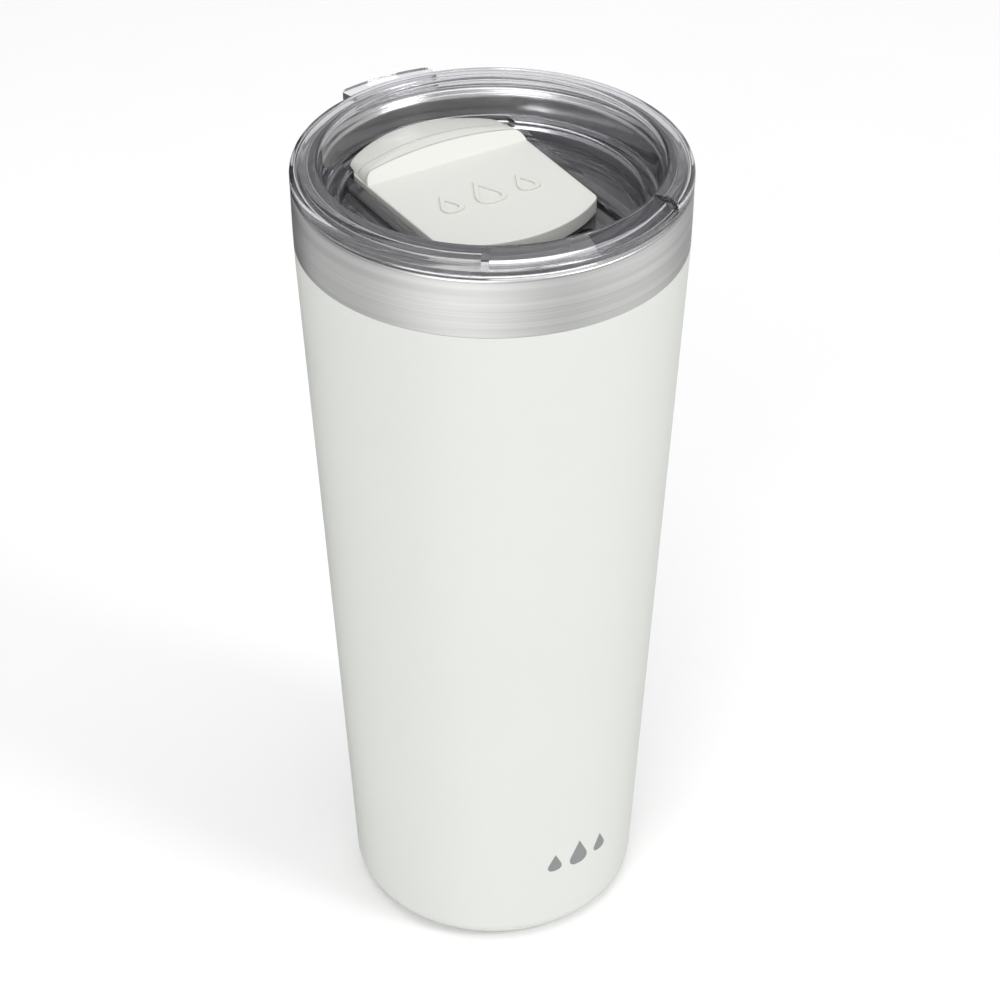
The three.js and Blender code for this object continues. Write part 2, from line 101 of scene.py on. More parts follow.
def add_piece(name, mesh):
    bmesh.ops.remove_doubles(mesh, verts=mesh.verts[:], dist=0.0005 * MM)
    bmesh.ops.dissolve_degenerate(mesh, edges=mesh.edges[:], dist=0.0005 * MM)
    bmesh.ops.recalc_face_normals(mesh, faces=mesh.faces[:])
    if mesh.calc_volume(signed=True) < 0:
        bmesh.ops.reverse_faces(mesh, faces=mesh.faces[:])
    open_edges = sum(not edge.is_manifold for edge in mesh.edges)
    data = bpy.data.meshes.new(name)
    mesh.to_mesh(data)
    mesh.free()
    piece = bpy.data.objects.new(name, data)
    bpy.context.scene.collection.objects.link(piece)
    if open_edges:
        print("  ", name, "has", open_edges, "open edges")
    return piece


def rounded(mesh, spots, roundings):
    for spot, rounding in zip(spots, roundings):
        if rounding:
            bmesh.ops.bevel(mesh, geom=[spot], offset=rounding * MM, offset_type="OFFSET",
                            segments=ROUNDING_STEPS, profile=0.5, affect="VERTICES", material=-1)


def joined_up(mesh, spots, loop):
    for pair in zip(spots, spots[1:]):
        mesh.edges.new(pair)
    if loop:
        mesh.edges.new((spots[-1], spots[0]))


# %% Turned pieces
def turned(name, corners, loop=False, around=AROUND):
    """corners are (radius, height, rounding). The outline closes on itself, or on the axis."""
    mesh = bmesh.new()
    spots = [mesh.verts.new((radius * MM, 0, height * MM)) for radius, height, _ in corners]
    joined_up(mesh, spots, loop)
    rounded(mesh, spots, [corner[2] for corner in corners])
    bmesh.ops.spin(mesh, geom=mesh.verts[:] + mesh.edges[:], cent=(0, 0, 0), axis=(0, 0, 1),
                   angle=2 * math.pi, steps=around, use_merge=True)
    return add_piece(name, mesh)


def drum(radius, low, high, rounding=0):
    return turned("drum", [(0, low, 0), (radius, low, rounding), (radius, high, 0), (0, high, 0)])


# %% Plates raised from an outline
def raised(name, mesh, low, high):
    """Fills a flat wire, then raises it from one height to the other."""
    bmesh.ops.remove_doubles(mesh, verts=mesh.verts[:], dist=0.0005 * MM)
    bmesh.ops.contextual_create(mesh, geom=mesh.edges[:])
    bmesh.ops.translate(mesh, verts=mesh.verts[:], vec=(0, 0, low * MM))
    grown = bmesh.ops.extrude_face_region(mesh, geom=mesh.faces[:])["geom"]
    top = [item for item in grown if isinstance(item, bmesh.types.BMVert)]
    bmesh.ops.translate(mesh, verts=top, vec=(0, 0, (high - low) * MM))
    return add_piece(name, mesh)


def plate(name, corners, low, high):
    """corners are (x, y, rounding)."""
    mesh = bmesh.new()
    spots = [mesh.verts.new((x * MM, y * MM, 0)) for x, y, _ in corners]
    joined_up(mesh, spots, True)
    rounded(mesh, spots, [corner[2] for corner in corners])
    return raised(name, mesh, low, high)


def block(x_low, x_high, y_low, y_high, low, high):
    corners = [(x_low, y_low, 0), (x_high, y_low, 0), (x_high, y_high, 0), (x_low, y_high, 0)]
    return plate("block", corners, low, high)


def swept(mesh, start, centre, angle, steps):
    """Carries one vertex along an arc in the plane, and returns the vertex it ends on."""
    middle = (centre[0] * MM, centre[1] * MM, 0)
    last = bmesh.ops.spin(mesh, geom=[start], cent=middle, axis=(0, 0, 1), angle=angle,
                          steps=steps, use_merge=False)["geom_last"]
    return next(item for item in last if isinstance(item, bmesh.types.BMVert))


# %% Joining, cutting and rounding off
def settle(piece):
    """Puts what the modifiers make into the mesh itself."""
    shaped = bpy.data.meshes.new_from_object(
        piece.evaluated_get(bpy.context.evaluated_depsgraph_get()))
    old = piece.data
    piece.modifiers.clear()
    piece.data = shaped
    shaped.name = piece.name
    bpy.data.meshes.remove(old)


def combine(piece, how, *tools):
    for tool in tools:
        step = piece.modifiers.new(how, "BOOLEAN")
        step.operation = how
        step.solver = "EXACT"
        step.object = tool
        settle(piece)
        bpy.data.objects.remove(tool)
    return piece


def moved(piece, turn=None, shift=(0, 0, 0)):
    place = Matrix.Translation(Vector(shift) * MM) @ (turn or Matrix.Identity(4))
    piece.data.transform(place)
    return piece


def soften(piece, width, sharper_than, segments=2):
    """Welds the crumbs that cutting leaves, then rounds off the sharp edges."""
    mesh = bmesh.new()
    mesh.from_mesh(piece.data)
    bmesh.ops.remove_doubles(mesh, verts=mesh.verts[:], dist=0.012 * MM)
    bmesh.ops.dissolve_degenerate(mesh, edges=mesh.edges[:], dist=0.012 * MM)
    mesh.to_mesh(piece.data)
    mesh.free()
    step = piece.modifiers.new("soften", "BEVEL")
    step.width = width * MM
    step.segments = segments
    step.limit_method = "ANGLE"
    step.angle_limit = math.radians(sharper_than)
    settle(piece)


def finished(piece, body, node, sharp=30):
    """Smooth shading up to an angle, then the piece takes the place of its node of the frame."""
    piece.data.shade_smooth()
    piece.data.set_sharp_from_angle(angle=math.radians(sharp))
    even = piece.modifiers.new("even", "WEIGHTED_NORMAL")
    even.keep_sharp = True
    settle(piece)
    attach(piece, body)
    if node:
        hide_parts(node)
    triangles = sum(len(face.vertices) - 2 for face in piece.data.polygons)
    size = [round(side / MM, 1) for side in piece.dimensions]
    print(piece.name, "is", size, "mm, with", triangles, "triangles")
    return piece


# %% [markdown]
# ## The steel cup
# The outer wall is deep-drawn stainless steel. It is bare in a band below the mouth, and a
# powder coat covers the rest. The coat is a real layer, a third of a millimetre thick and flush
# with the band, so it is its own piece. The wall steps in behind it. Both could be one mesh with
# two materials, but then the coat's edge would have no thickness.

# %% The powder coat
FOOT_TURN = (38.095, 1.404)
COAT_START = (33.65, 0.215)
coat = turned("coat", [
    (COAT_START[0], COAT_START[1], 0),
    (FOOT_TURN[0], FOOT_TURN[1], 4.55),
    *[(body_radius(z), z, 0) for z in (60, 120, SHOULDER, 195, 198)],
    (body_radius(BAND_BOTTOM), BAND_BOTTOM - 3 * HAIRLINE, 0.12),
    (body_radius(BAND_BOTTOM) - COAT, BAND_BOTTOM - 3 * HAIRLINE, 0),
    *[(body_radius(z) - COAT, z, 0) for z in (198, 195, SHOULDER, 120, 60)],
    (FOOT_TURN[0] - 0.26, FOOT_TURN[1] + 0.15, 4.3),
    (COAT_START[0] - 0.077, COAT_START[1] + 0.29, 0),
], loop=True)
finished(coat, "cup", "powder_coat")

# %% The outer wall
FOOT_INNER = 28.6
band_heights = (203, 206, 209, RIM_START)
shell = turned("outer_wall", [
    (FOOT_INNER, 3, 0),
    (FOOT_INNER, 0, 0.7),
    (32.4, 0, 0.5),
    (COAT_START[0] - 0.05, COAT_START[1] - 0.02, 0),
    (COAT_START[0] - 0.083, COAT_START[1] + 0.31, 0),
    (FOOT_TURN[0] - 0.28, FOOT_TURN[1] + 0.17, 4.25),
    *[(body_radius(z) - COAT_STEP, z, 0) for z in (60, 120, SHOULDER, 195, 198)],
    (body_radius(BAND_BOTTOM) - COAT_STEP, BAND_BOTTOM - HAIRLINE, 0),
    (body_radius(BAND_BOTTOM), BAND_BOTTOM - HAIRLINE, 0.1),
    *[(body_radius(z), z, 0) for z in band_heights],
    (RIM_RADIUS, RIM_TOP, 1.3),
    (RIM_RADIUS - 1.2, RIM_TOP, 0),
    (RIM_RADIUS - 1.2, RIM_TOP - 0.5, 0),
    (RIM_RADIUS - 0.5, RIM_TOP - 0.5, 0.6),
    (body_radius(205) - 0.5, 205, 0),
    (body_radius(201) - 0.82, 201, 0),
    (body_radius(SHOULDER) - 0.82, SHOULDER, 0),
    (37.3, 0.82, 5),
    (29.9, 0.82, 0.5),
    (FOOT_INNER + 0.5, 1.6, 0),
    (FOOT_INNER + 0.5, 3, 0),
], loop=True)
finished(shell, "cup", "outer_shell")

# %% [markdown]
# ## The liner and the underside
# The liner is a second, deeper-drawn cup. Its rounded lip is welded to the outer wall's, and the
# space between the two is a vacuum. Below, a plate closes that space and a stamped disc covers
# the plate. The disc gets a raised ring and a sunken middle, which stiffen the real one.

# %% The liner
liner_heights = (185, 189, 193, 197, 201, 205, 209, RIM_START)
liner = turned("liner", [
    (0, 9, 0),
    (liner_radius(9), 9, 8.6),
    *[(liner_radius(z), z, 0) for z in liner_heights],
    (RIM_RADIUS - 2.6, RIM_TOP, 1.29),
    (RIM_RADIUS - 1.26, RIM_TOP, 0),
    (RIM_RADIUS - 1.26, RIM_TOP - 0.4, 0),
    (RIM_RADIUS - 2.2, RIM_TOP - 0.4, 0.9),
    *[(liner_radius(z) + 0.4, z, 0) for z in reversed(liner_heights)],
    (liner_radius(9) + 0.38, 8.6, 8.9),
    (0, 8.6, 0),
])
finished(liner, "cup", "inner_liner")

# %% The closing plate and the stamped disc
DISC_RADIUS = FOOT_INNER - 0.3
closing_plate = turned("closing_plate", [
    (0.8, 2.9, 0.1), (5, 2.9, 0.3), (5.8, 2.2, 0.3), (DISC_RADIUS, 2.2, 0.2),
    (DISC_RADIUS, 2.8, 0.2), (6.2, 2.8, 0.3), (5.4, 3.5, 0.3), (0.8, 3.5, 0.1),
], loop=True)
finished(closing_plate, "cup", "outer_bottom")
disc = turned("foot_disc", [
    (0, 1.1, 0), (11, 1.1, 0.3), (11.5, 0.82, 0.25), (23, 0.82, 0.25), (23.5, 1.1, 0.25),
    (25.6, 1.1, 0.25), (26.1, 0.8, 0.25), (DISC_RADIUS, 0.8, 0.3), (DISC_RADIUS, 1.6, 0.2),
    (0, 1.6, 0),
])
finished(disc, "cup", "base_disc")

# %% [markdown]
# ## The lid
# The lid is one moulding in clear, smoke-tinted plastic: a rounded rim that sits on the steel
# lip, a well with a ledge round it, and a channel along its floor for the slider. A rail stands
# on each side of the channel, and beyond the rails are two D-shaped panels. The round form is
# turned first. The channel, rails, pockets and slots are then cut or added as simple solids,
# which is how the mould itself is made.

# %% The lid's round form
WELL_RADIUS = 36.5
LEDGE = 210.8
CHANNEL_FLOOR = 205
PANEL_FLOOR = 206.2
LID_UNDER = 215.75
LID_TOP = 221
LID_FLOOR_UNDER = 203
lid = turned("lid", [
    (0, PANEL_FLOOR, 0),
    (WELL_RADIUS, PANEL_FLOOR, 0.5),
    (WELL_RADIUS, LEDGE, 0.5),
    (39.82, LEDGE, 0.6),
    (41.34, LID_TOP - 0.15, 0.8),
    (48, LID_TOP, 3.25),
    (48, LID_UNDER, 0.5),
    (46.3, LID_UNDER, 0.3),
    (46.2, 217.2, 0.3),
    (43.2, 217.2, 0.3),
    (43.1, LID_UNDER, 0.2),
    (42.5, 214.95, 0.4),
    (42.3, 207.9, 0.2),
    (39.3, 207.9, 0.2),
    (39.3, 203.9, 0.2),
    (41.4, 203.9, 0.2),
    (41.4, 202.7, 0.3),
    (40, 201.2, 0.5),
    (37.1, 201.2, 0.4),
    (36.7, LID_FLOOR_UNDER, 0.4),
    (0, LID_FLOOR_UNDER, 0),
])

# %% The channel, its rails and the pocket behind the slider
CHANNEL_HALF = 23.3
RAIL_OUTER = 25.8
RAIL_TOP = 208.6
channel = combine(drum(WELL_RADIUS - 0.15, CHANNEL_FLOOR, PANEL_FLOOR + 1, 0.4), "INTERSECT",
                  block(-CHANNEL_HALF, CHANNEL_HALF, -50, 50, 200, 210))
back_pocket = combine(drum(39.3, 209.2, LEDGE + 1, 0.4), "INTERSECT",
                      block(-23.6, 23.6, 20, 50, 205, 215))
combine(lid, "DIFFERENCE", channel, back_pocket)
for low, high in ((-RAIL_OUTER, -CHANNEL_HALF), (CHANNEL_HALF, RAIL_OUTER)):
    rail = combine(drum(WELL_RADIUS + 0.3, CHANNEL_FLOOR - 1, RAIL_TOP), "INTERSECT",
                   block(low, high, -50, 50, 200, 210))
    combine(lid, "UNION", rail)
panel_hollow = combine(drum(34.3, 200, PANEL_FLOOR - 2.2), "DIFFERENCE",
                       block(-27.7, 27.7, -50, 50, 195, 210))
combine(lid, "DIFFERENCE", panel_hollow)
print("the lid has", len(lid.data.polygons), "faces so far")


# %% The drinking slot and the guide slots
def arc_slot(name, centre_y, half_width, low, high):
    """A slot whose middle follows an arc of radius SIP_ARC, with round ends."""
    mesh = bmesh.new()
    spread = 2 * SIP_HALF_ANGLE
    start = -math.pi / 2 - SIP_HALF_ANGLE
    ends = [(SIP_ARC * math.cos(a), centre_y + SIP_ARC * math.sin(a))
            for a in (start, start + spread)]
    outer = SIP_ARC + half_width
    first = mesh.verts.new((outer * math.cos(start) * MM,
                            (centre_y + outer * math.sin(start)) * MM, 0))
    spot = swept(mesh, first, (0, centre_y), spread, 28)
    spot = swept(mesh, spot, ends[1], math.pi, 16)
    spot = swept(mesh, spot, (0, centre_y), -spread, 28)
    swept(mesh, spot, ends[0], math.pi, 16)
    return raised(name, mesh, low, high)


SIP_ARC = 25.5
SIP_HALF_ANGLE = 0.61
TRAVEL = 16
combine(lid, "DIFFERENCE", arc_slot("sip_slot", 0, 3.3, 200, 207))
for side in (-1, 1):
    x = side * 9
    guide = [(x - 2.2, -9.4, 1), (x + 2.2, -9.4, 1), (x + 2.2, 13.4, 1), (x - 2.2, 13.4, 1)]
    combine(lid, "DIFFERENCE", plate("guide", guide, 200, 207))

# %% The sloped lip and the thumb tab
LIP_HALF_ANGLE = 0.56
TAB_HALF_ANGLE = 0.245
slope = turned("slope", [(42, 220.3, 0), (49, 217, 0), (49, 224, 0), (42, 224, 0)], loop=True)
reach = 70


def wedge(half_angle):
    across = reach * math.tan(half_angle)
    return plate("wedge", [(0, 0, 0), (-across, -reach, 0), (across, -reach, 0)], 210, 230)


combine(lid, "DIFFERENCE", combine(slope, "INTERSECT", wedge(LIP_HALF_ANGLE)))
rim_hollow = turned("rim_hollow", [(43.21, 216.8, 0), (46.19, 216.8, 0), (46, 218.9, 0.7),
                                   (43.4, 218.9, 0.7)], loop=True)
combine(lid, "DIFFERENCE", combine(rim_hollow, "DIFFERENCE", wedge(LIP_HALF_ANGLE + 0.04)))
mesh = bmesh.new()
tab_start = math.pi / 2 - TAB_HALF_ANGLE
near = mesh.verts.new((46.5 * math.cos(tab_start) * MM, 46.5 * math.sin(tab_start) * MM, 0))
far = mesh.verts.new((53 * math.cos(tab_start) * MM, 53 * math.sin(tab_start) * MM, 0))
mesh.edges.new((near, far))
far_end = swept(mesh, far, (0, 0), 2 * TAB_HALF_ANGLE, 16)
near_end = swept(mesh, near, (0, 0), 2 * TAB_HALF_ANGLE, 16)
mesh.edges.new((near_end, far_end))
bmesh.ops.bevel(mesh, geom=[far, far_end], offset=1.6 * MM, offset_type="OFFSET", segments=6,
                profile=0.5, affect="VERTICES", material=-1)
combine(lid, "UNION", raised("tab", mesh, 216.6, 218.6))
soften(lid, 0.2, 40)
finished(lid, "lid", "lid_body", sharp=40)

# %% [markdown]
# ## The gasket
# A soft silicone ring sits in the groove of the lid's plug. Its two fins bend against the liner
# and hold the lid in. It is turned, with every corner rounded as moulded silicone is.

# %% The gasket
gasket = turned("gasket", [
    (39.6, 204.2, 0.3), (41.6, 204.2, 0.3), (44.1, 205, 0.15), (44.1, 205.4, 0.15),
    (41.8, 205.1, 0.3), (41.8, 206.1, 0.3), (44.3, 206.9, 0.15), (44.3, 207.3, 0.15),
    (41.6, 207.6, 0.3), (39.6, 207.6, 0.3),
], loop=True)
finished(gasket, "lid", "lid_gasket")

# %% [markdown]
# ## The slider
# The slider is a cream moulding: a flat plate with a crowned thumb grip at its back, and a back
# edge that reaches over the lid's ledge. The grip is what is left where four simple solids
# overlap: the plan raised high, a ramp, and two long bars with crowned tops. The second bar is
# tipped, which makes the fall behind the grip. A hollow of the same form, set in by the wall's
# thickness, leaves a shell like the real one's.

# %% The slider seen from above
SLIDER_HALF = 22.2
SIDE_SLOPE = 0.0165
SLIDER_FRONT = 34.9
FRONT_CENTRE = 14.7
SLIDER_UNDER = 205.35
SLIDER_TOP = 209.3
BACK_WALL = (36.2, 0)
BACK_EDGE = (34.5, 4.45)


def slider_plan(name, inset, back, low, high):
    """back is the back edge's radius and its centre on Y."""
    front = SLIDER_FRONT - inset
    rear = back[0] - inset
    front_half = SLIDER_HALF - 12 * SIDE_SLOPE - inset
    back_half = SLIDER_HALF + 29 * SIDE_SLOPE - inset
    front_angle = math.asin(front_half / front)
    back_angle = math.asin(back_half / rear)
    mesh = bmesh.new()
    left_front = mesh.verts.new(
        (-front_half * MM, (FRONT_CENTRE - front * math.cos(front_angle)) * MM, 0))
    right_back = mesh.verts.new(
        (back_half * MM, (back[1] + rear * math.cos(back_angle)) * MM, 0))
    right_front = swept(mesh, left_front, (0, FRONT_CENTRE), 2 * front_angle, 48)
    left_back = swept(mesh, right_back, (0, back[1]), 2 * back_angle, 48)
    mesh.edges.new((right_front, right_back))
    mesh.edges.new((left_back, left_front))
    for spots, rounding in (((left_front, right_front), 1.3), ((left_back, right_back), 1.9)):
        near_corner = set(spots)
        for spot in near_corner:
            clear_way(mesh, spot, rounding)
            bmesh.ops.bevel(mesh, geom=[spot], offset=rounding * MM, offset_type="OFFSET",
                            segments=8, profile=0.5, affect="VERTICES", material=-1)
    return raised(name, mesh, low, high)


def clear_way(mesh, corner, distance):
    """Dissolves the arc's points nearest a corner, so that its rounding has room."""
    crowd = [v for v in mesh.verts if v is not corner and len(v.link_edges) == 2
             and (v.co - corner.co).length < (distance + 0.4) * MM]
    bmesh.ops.dissolve_verts(mesh, verts=crowd)


# %% The crowned bars
GRIP_START = 20.6
GRIP_FRONT = 24
GRIP_BACK = 27.4
GRIP_TOP = 213.5
GRIP_SHOULDER = 3


def crowned_bar(crown, tip, inset):
    half = SLIDER_HALF + 29 * SIDE_SLOPE - inset
    lean = math.asin((half - 0.2) / crown)
    drop = crown * (1 - math.cos(lean))
    mesh = bmesh.new()
    start = mesh.verts.new((crown * math.sin(lean) * MM, -drop * MM, 0))
    end = swept(mesh, start, (0, -crown), 2 * lean, 40)
    low_right = mesh.verts.new((start.co.x, -20 * MM, 0))
    low_left = mesh.verts.new((end.co.x, -20 * MM, 0))
    mesh.edges.new((start, low_right))
    mesh.edges.new((low_right, low_left))
    mesh.edges.new((low_left, end))
    for spot in (start, end):
        clear_way(mesh, spot, GRIP_SHOULDER)
    bmesh.ops.bevel(mesh, geom=[start, end], offset=GRIP_SHOULDER * MM, offset_type="OFFSET",
                    segments=12, profile=0.5, affect="VERTICES", material=-1)
    bar = raised("bar", mesh, -60, 60)
    return moved(bar, Matrix.Rotation(math.pi / 2 - tip, 4, "X"), (0, GRIP_BACK, GRIP_TOP))


# %% The slider's form
def slider_form(inset, overhang):
    rise = (GRIP_TOP - SLIDER_TOP) / (GRIP_FRONT - GRIP_START)
    ramp = plate("ramp", [
        (GRIP_START - 1, SLIDER_TOP - rise, 0),
        (GRIP_START + 30, SLIDER_TOP - rise, 0),
        (GRIP_START + 30, SLIDER_TOP + rise * 30, 0),
    ], -40, 40)
    moved(ramp, Matrix(((0, 0, 1, 0), (1, 0, 0, 0), (0, 1, 0, 0), (0, 0, 0, 1))))
    grip = slider_plan("grip", inset, BACK_WALL, SLIDER_TOP - 1, GRIP_TOP + 2)
    if overhang:
        combine(grip, "UNION", slider_plan("edge", inset, BACK_EDGE, 209.5, GRIP_TOP + 2))
    combine(grip, "INTERSECT", ramp, crowned_bar(140, 0, inset), crowned_bar(92, 0.19, inset))
    form = slider_plan("form", inset, BACK_WALL, SLIDER_UNDER, SLIDER_TOP)
    if overhang:
        soften(form, 0.35, 40, 3)
    return combine(form, "UNION", grip)


def seam(y_middle, radius):
    """A groove as fine as a hair across the grip, which follows its crown."""
    centre = y_middle - radius
    half_angle = math.asin(23.4 / radius)
    mesh = bmesh.new()
    ends = []
    for edge_radius in (radius - SEAM_WIDTH / 2, radius + SEAM_WIDTH / 2):
        start = math.pi / 2 - half_angle
        first = mesh.verts.new((edge_radius * math.cos(start) * MM,
                                (centre + edge_radius * math.sin(start)) * MM, 0))
        ends.append((first, swept(mesh, first, (0, centre), 2 * half_angle, 40)))
    mesh.edges.new((ends[0][0], ends[1][0]))
    mesh.edges.new((ends[0][1], ends[1][1]))
    wall = raised("seam", mesh, SLIDER_TOP + 0.3, GRIP_TOP + 1)
    below = combine(crowned_bar(140, 0, SEAM_DEPTH), "INTERSECT",
                    crowned_bar(92, 0.19, SEAM_DEPTH))
    return combine(wall, "DIFFERENCE", moved(below, shift=(0, 0, -SEAM_DEPTH)))


SEAM_WIDTH = 0.3
SEAM_DEPTH = 0.4
cover = slider_form(0, True)
cover.name = "slider"
hollow = moved(slider_form(1.7, False), shift=(0, 0, -1.8))
combine(cover, "DIFFERENCE", hollow, seam(GRIP_FRONT, 173), seam(28.4, 120))


# %% The moulded mark
def drop(name, x, y, size, low, high):
    """A drop of water: a pointed top and a round belly."""
    corners = [(x, y + 1.5 * size, 0.12 * size), (x - 1.25 * size, y - size, 1.15 * size),
               (x + 1.25 * size, y - size, 1.15 * size)]
    return plate(name, corners, low, high)


for x, y, size in ((-10.6, 1.8, 3.4), (0, 2.2, 4.6), (10.6, 1.8, 3.4)):
    ridge = drop("ridge", x, y, size, SLIDER_TOP - 0.4, SLIDER_TOP + 0.45)
    inner = drop("inner", x, y - 0.32, size - 1.42, SLIDER_TOP - 1, SLIDER_TOP + 1)
    soften(combine(ridge, "DIFFERENCE", inner), 0.14, 40)
    combine(cover, "UNION", ridge)
finished(cover, "slider", "slider_cover", sharp=8)

# %% [markdown]
# ## The seal under the slider
# A silicone pad on the carriage covers the drinking slot when the slider is pushed forward. It is
# raised from the slot's own outline, made wider, and its edges are rounded.

# %% The seal pad
pad = arc_slot("seal_pad", TRAVEL, 4.6, 205.08, 206.1)
soften(pad, 0.25, 40, 3)
finished(pad, "slider", "sip_seal", sharp=40)

# %% [markdown]
# ## The printed mark
# A small grey mark is printed low on the coat. Ink is a thin layer, so the mark is cut from a
# thin sleeve that lies just outside the coat, by drops that point at the cup's axis.

# %% The printed mark
sleeve = turned("printed_mark", [
    (body_radius(12) + 0.004, 12, 0), (body_radius(12) + 0.02, 12, 0),
    (body_radius(42) + 0.02, 42, 0), (body_radius(42) + 0.004, 42, 0),
], loop=True)
MARK_HEIGHT = 26.5
MARK_TURN = math.radians(3.8)
prints = None
for x, y, size in ((-7, -0.4, 2.4), (0.4, 0, 3.4), (7.8, -0.4, 2.4)):
    mark = drop("mark", x, y, size, 25, 45)
    moved(mark, Matrix.Rotation(math.pi / 2, 4, "X"), (0, 0, MARK_HEIGHT))
    prints = combine(prints, "UNION", mark) if prints else mark
moved(prints, Matrix.Rotation(MARK_TURN, 4, "Z"))
combine(sleeve, "INTERSECT", prints)
finished(sleeve, "cup", None)

# %% [markdown]
# ## Patterns that several finishes share
# Every finish has some relief and some change of tone. Each pattern is a node group that gives a
# height and a tone, read from the object's own coordinates in metres, so that it stays put as a
# piece moves. Painted images would need unwrapping, and these surfaces are all plain.


# %% Node helpers
def add_node(tree, kind, **settings):
    node = tree.nodes.new(kind)
    for name, value in settings.items():
        if hasattr(node, name):
            setattr(node, name, value)
        else:
            node.inputs[name.replace("_", " ")].default_value = value
    return node


def new_group(name, inputs, outputs):
    group = bpy.data.node_groups.new(name, "ShaderNodeTree")
    for label, value in inputs.items():
        socket = group.interface.new_socket(
            name=label, in_out="INPUT", socket_type="NodeSocketFloat")
        socket.default_value = value
    for label in outputs:
        group.interface.new_socket(name=label, in_out="OUTPUT", socket_type="NodeSocketFloat")
    return group, group.nodes.new("NodeGroupInput"), group.nodes.new("NodeGroupOutput")


# %% Fine grain, for sprayed and moulded surfaces
grain, given, result = new_group("fine_grain", {"Scale": 900.0, "Fine share": 0.35},
                                 ("Height", "Tone"))
place = add_node(grain, "ShaderNodeTexCoord")
coarse = add_node(grain, "ShaderNodeTexNoise", Detail=2.0, Roughness=0.5)
finer = add_node(grain, "ShaderNodeMath", operation="MULTIPLY")
finer.inputs[1].default_value = 4.3
fine = add_node(grain, "ShaderNodeTexNoise", Detail=1.0, Roughness=0.5)
blend = add_node(grain, "ShaderNodeMix", data_type="FLOAT")
cloud = add_node(grain, "ShaderNodeTexNoise", Scale=14.0, Detail=3.0, Roughness=0.55)
grain.links.new(place.outputs["Object"], coarse.inputs["Vector"])
grain.links.new(place.outputs["Object"], fine.inputs["Vector"])
grain.links.new(place.outputs["Object"], cloud.inputs["Vector"])
grain.links.new(given.outputs["Scale"], coarse.inputs["Scale"])
grain.links.new(given.outputs["Scale"], finer.inputs[0])
grain.links.new(finer.outputs[0], fine.inputs["Scale"])
grain.links.new(given.outputs["Fine share"], blend.inputs["Factor"])
grain.links.new(coarse.outputs["Fac"], blend.inputs["A"])
grain.links.new(fine.outputs["Fac"], blend.inputs["B"])
grain.links.new(blend.outputs["Result"], result.inputs["Height"])
grain.links.new(cloud.outputs["Fac"], result.inputs["Tone"])

# %% Fine lines round the axis, for brushed and drawn steel
lines, given, result = new_group("lines_round_axis", {"Along": 18.0, "Across": 2600.0},
                                 ("Height", "Tone"))
place = add_node(lines, "ShaderNodeTexCoord")
split = add_node(lines, "ShaderNodeSeparateXYZ")
lines.links.new(place.outputs["Object"], split.inputs[0])
parts = []
for axis, share in (("X", "Along"), ("Y", "Along"), ("Z", "Across")):
    scaled = add_node(lines, "ShaderNodeMath", operation="MULTIPLY")
    lines.links.new(split.outputs[axis], scaled.inputs[0])
    lines.links.new(given.outputs[share], scaled.inputs[1])
    parts.append(scaled)
joined = add_node(lines, "ShaderNodeCombineXYZ")
for index, scaled in enumerate(parts):
    lines.links.new(scaled.outputs[0], joined.inputs[index])
streaks = add_node(lines, "ShaderNodeTexNoise", Scale=1.0, Detail=3.0, Roughness=0.65)
lines.links.new(joined.outputs[0], streaks.inputs["Vector"])
wide = add_node(lines, "ShaderNodeVectorMath", operation="MULTIPLY")
wide.inputs[1].default_value = (0.5, 0.5, 0.16)
broad = add_node(lines, "ShaderNodeTexNoise", Scale=1.0, Detail=2.0, Roughness=0.5)
lines.links.new(joined.outputs[0], wide.inputs[0])
lines.links.new(wide.outputs[0], broad.inputs["Vector"])
lines.links.new(streaks.outputs["Fac"], result.inputs["Height"])
mixed = add_node(lines, "ShaderNodeMix", data_type="FLOAT")
mixed.inputs["Factor"].default_value = 0.45
strong = add_node(lines, "ShaderNodeMapRange")
strong.inputs["From Min"].default_value = 0.36
strong.inputs["From Max"].default_value = 0.64
lines.links.new(broad.outputs["Fac"], mixed.inputs["A"])
lines.links.new(streaks.outputs["Fac"], mixed.inputs["B"])
lines.links.new(mixed.outputs["Result"], strong.inputs["Value"])
lines.links.new(strong.outputs["Result"], result.inputs["Tone"])

# %% Handling marks, which change only the gloss
handling, given, result = new_group("handling", {"Scale": 22.0}, ("Mask",))
place = add_node(handling, "ShaderNodeTexCoord")
smudges = add_node(handling, "ShaderNodeTexNoise", Detail=4.0, Roughness=0.6)
ramp = add_node(handling, "ShaderNodeMapRange")
ramp.inputs["From Min"].default_value = 0.35
ramp.inputs["From Max"].default_value = 0.7
handling.links.new(place.outputs["Object"], smudges.inputs["Vector"])
handling.links.new(given.outputs["Scale"], smudges.inputs["Scale"])
handling.links.new(smudges.outputs["Fac"], ramp.inputs["Value"])
handling.links.new(ramp.outputs["Result"], result.inputs["Mask"])
print("made", len(bpy.data.node_groups), "patterns")


# %% [markdown]
# ## One way to build a finish
# Each finish mixes two close colours by its pattern's tone, lets handling marks change the gloss
# a little, and turns the pattern's height into a bump. What is the same all over the surface is
# set on the shader itself.

